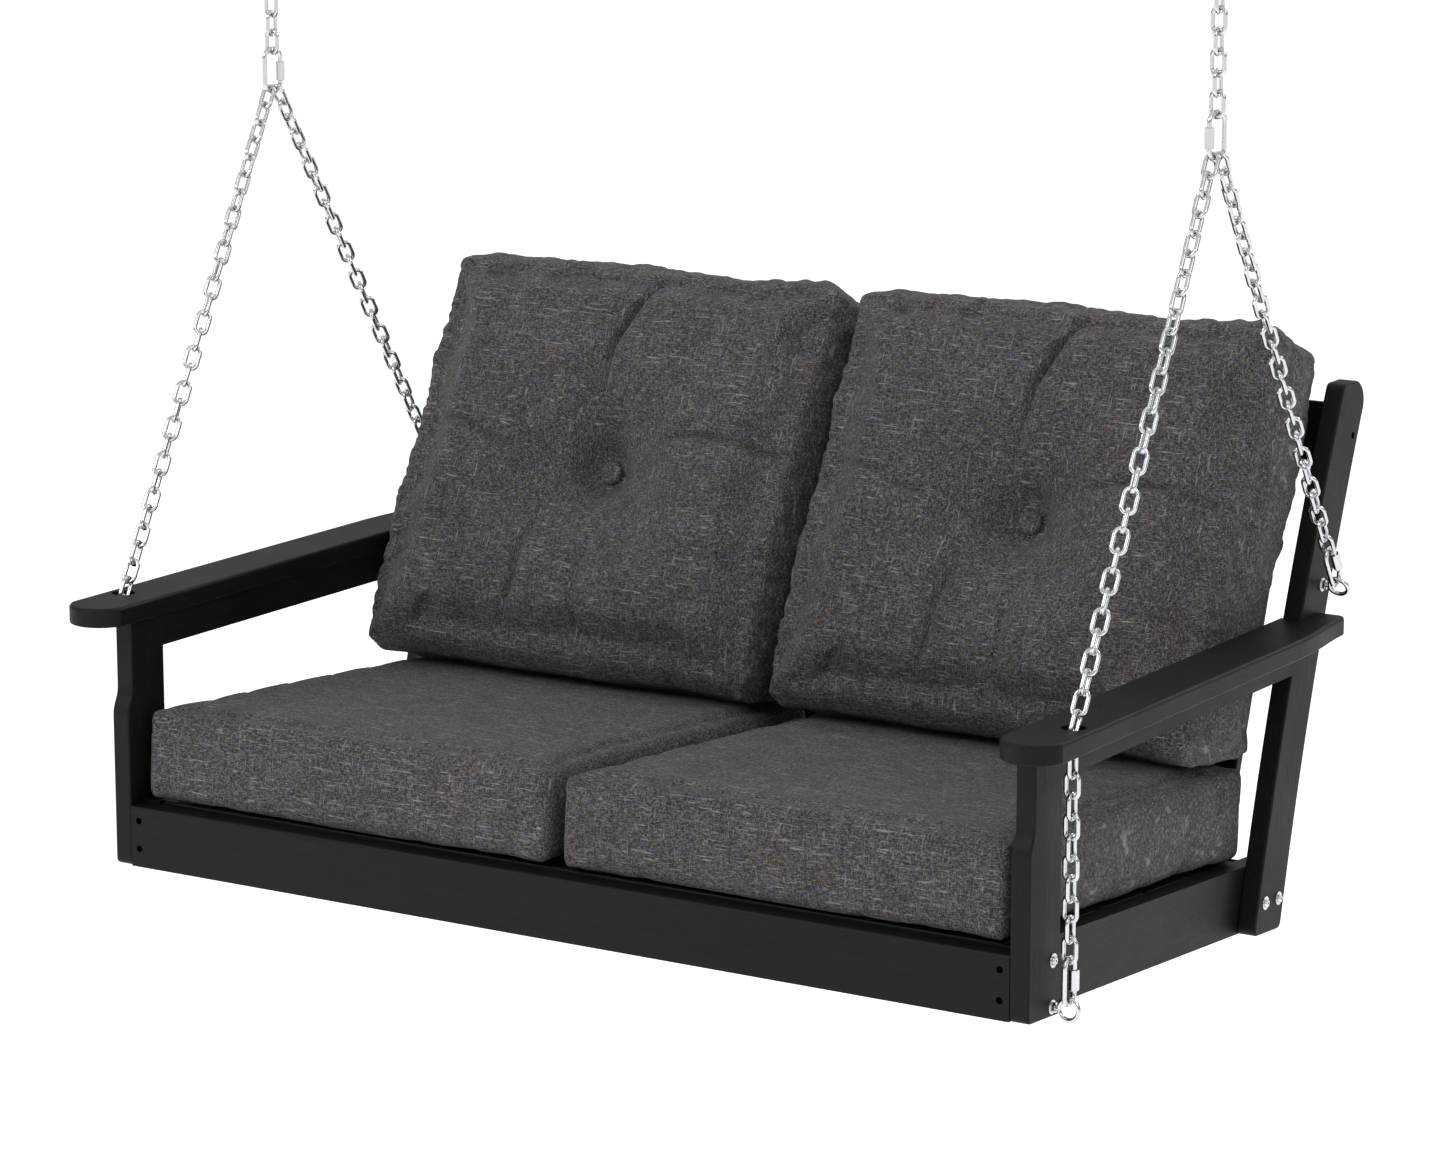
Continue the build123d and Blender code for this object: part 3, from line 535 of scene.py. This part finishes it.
def bright_steel(name, colour, low, high):
    """Polished or brushed steel with faint drawing marks and handling haze."""
    material, tree, shader, place = node_material(name)
    haze = noise_node(tree, place, 160.0, 3.0)
    marks = noise_node(tree, stretched(tree, place, (2600, 2600, 500)), 1.0, 2.0)
    dark = tuple(c * 0.86 for c in colour)
    tree.links.new(ramp(tree, haze, [(0.3, dark), (0.7, colour)]), shader.inputs["Base Color"])
    shader.inputs["Metallic"].default_value = 1.0
    tree.links.new(ramp(tree, haze, [(0.3, grey(low)), (0.75, grey(high))]), shader.inputs["Roughness"])
    bump(tree, shader, marks, 0.00006, 0.5)
    return material


def dress_frame(cloth):
    """Give each CAD node that stays in view its material."""
    along_x = moulded_board("board_across", (26, 700, 700))
    along_y = moulded_board("board_fore_and_aft", (700, 26, 300))
    along_z = moulded_board("board_upright", (700, 300, 26))
    chrome = bright_steel("bright_chain", (0.66, 0.67, 0.69), 0.10, 0.22)
    screw = bright_steel("screw_steel", (0.05, 0.05, 0.052), 0.35, 0.55)
    slots = {entry["node"]: entry["material_slot"] for entry in frame["record"]["subparts"]}
    for name, obj in NODES.items():
        kind = slots[name]
        if kind == "board":
            low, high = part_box(name)
            size = high - low
            longest = max(range(3), key=lambda axis: size[axis])
            material = (along_x, along_y, along_z)[longest]
        elif kind == "steel":
            material = chrome
        elif kind == "screw_steel":
            material = screw
        else:
            material = cloth
        obj.data.materials.clear()
        obj.data.materials.append(material)


# ---- studio ----

FLOOR_REACH = 60.0
FLOOR_DROP = 0.85  # from the lowest point of the hanging seat to the studio floor
LAMP_TARGET = Vector((0.0, 0.0, 0.45))
CAMERA_X = 3.163810
CAMERA_SIDE = (-4667.836, 1643.827)  # its place in the side view, in millimetres
CAMERA_DOWN = 0.20930056  # radians below level
CAMERA_TURN = 0.55776812  # radians from looking straight at the front
SENSOR_WIDTH = 36.0
FOCAL_LENGTH = 120.647162


def studio():
    """A pale floor, four round lamps and a world that is darker just above the horizon."""
    scene = bpy.context.scene
    world = bpy.data.worlds.new("studio")
    scene.world = world
    world.use_nodes = True
    tree = world.node_tree
    background = tree.nodes["Background"]
    place = tree.nodes.new("ShaderNodeTexCoord")
    split = tree.nodes.new("ShaderNodeSeparateXYZ")
    tree.links.new(place.outputs["Generated"], split.inputs["Vector"])
    sky = ramp(
        tree,
        maths(tree, "ADD", maths(tree, "MULTIPLY", split.outputs["Z"], 0.5), 0.5),
        [
            (0.45, grey(0.60)),
            (0.53, grey(0.36)),
            (0.62, grey(0.36)),
            (0.74, grey(0.80)),
            (0.95, grey(0.78)),
        ],
    )
    tree.links.new(sky, background.inputs["Color"])
    background.inputs["Strength"].default_value = 1.0
    floor_mesh = bpy.data.meshes.new("floor")
    level = CAD_BOX[0][2] - FLOOR_DROP
    corners = [(x * FLOOR_REACH, y * FLOOR_REACH, level) for x, y in ((-1, -1), (1, -1), (1, 1), (-1, 1))]
    floor_mesh.from_pydata(corners, [], [(0, 1, 2, 3)])
    floor = new_object("floor", floor_mesh)
    material, tree, shader, place = node_material("pale_floor")
    tone = ramp(tree, noise_node(tree, place, 3.0), [(0.3, grey(0.95)), (0.7, grey(0.97))])
    tree.links.new(tone, shader.inputs["Base Color"])
    shader.inputs["Roughness"].default_value = 0.9
    shader.inputs["Emission Color"].default_value = (1.0, 1.0, 1.0, 1.0)
    shader.inputs["Emission Strength"].default_value = 0.42
    floor_mesh.materials.append(material)
    for name, spot, size, power in (
        ("key", (-2.6, -4.6, 3.4), 2.4, 105.0),
        ("fill", (4.6, -3.0, 3.2), 2.4, 40.0),
        ("top", (0.3, 0.6, 4.6), 2.6, 14.0),
        ("rim", (2.4, 4.2, 3.4), 1.8, 50.0),
    ):
        light = bpy.data.lights.new(name, "AREA")
        light.shape = "DISK"
        light.size = size
        light.energy = power
        lamp = bpy.data.objects.new(name, light)
        scene.collection.objects.link(lamp)
        lamp.location = spot
        aim = LAMP_TARGET - Vector(spot)
        lamp.rotation_euler = aim.to_track_quat("-Z", "Y").to_euler()


def camera():
    """The view: from the right front, a little above the seat."""
    lens = bpy.data.cameras.new("camera")
    lens.sensor_fit = "HORIZONTAL"
    lens.sensor_width = SENSOR_WIDTH
    lens.lens = FOCAL_LENGTH
    obj = bpy.data.objects.new("camera", lens)
    bpy.context.scene.collection.objects.link(obj)
    obj.location = (CAMERA_X, *at(*CAMERA_SIDE))
    obj.rotation_euler = (math.pi / 2 - CAMERA_DOWN, 0.0, CAMERA_TURN)
    bpy.context.scene.camera = obj


# ---- assembly ----

camera()
studio()
CLOTH = woven_cloth()
dress_frame(CLOTH)
right_seat = seat_cushion()
right_back = back_cushion()
for cushion, title, nodes in (
    (right_seat, "seat_cushion", ("seat_cushion_cover", "seat_cushion_foam")),
    (right_back, "back_cushion", ("back_cushion_cover",)),
):
    left = left_copy(cushion, "left_" + title, 6.0)
    for side, piece in (("right", cushion), ("left", left)):
        piece.data.materials.clear()
        piece.data.materials.append(CLOTH)
        piece.data.shade_smooth()
        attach(piece, "seat")
        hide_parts(*[f"{side}_{node}" for node in nodes])

bpy.context.scene.view_settings.view_transform = "Standard"
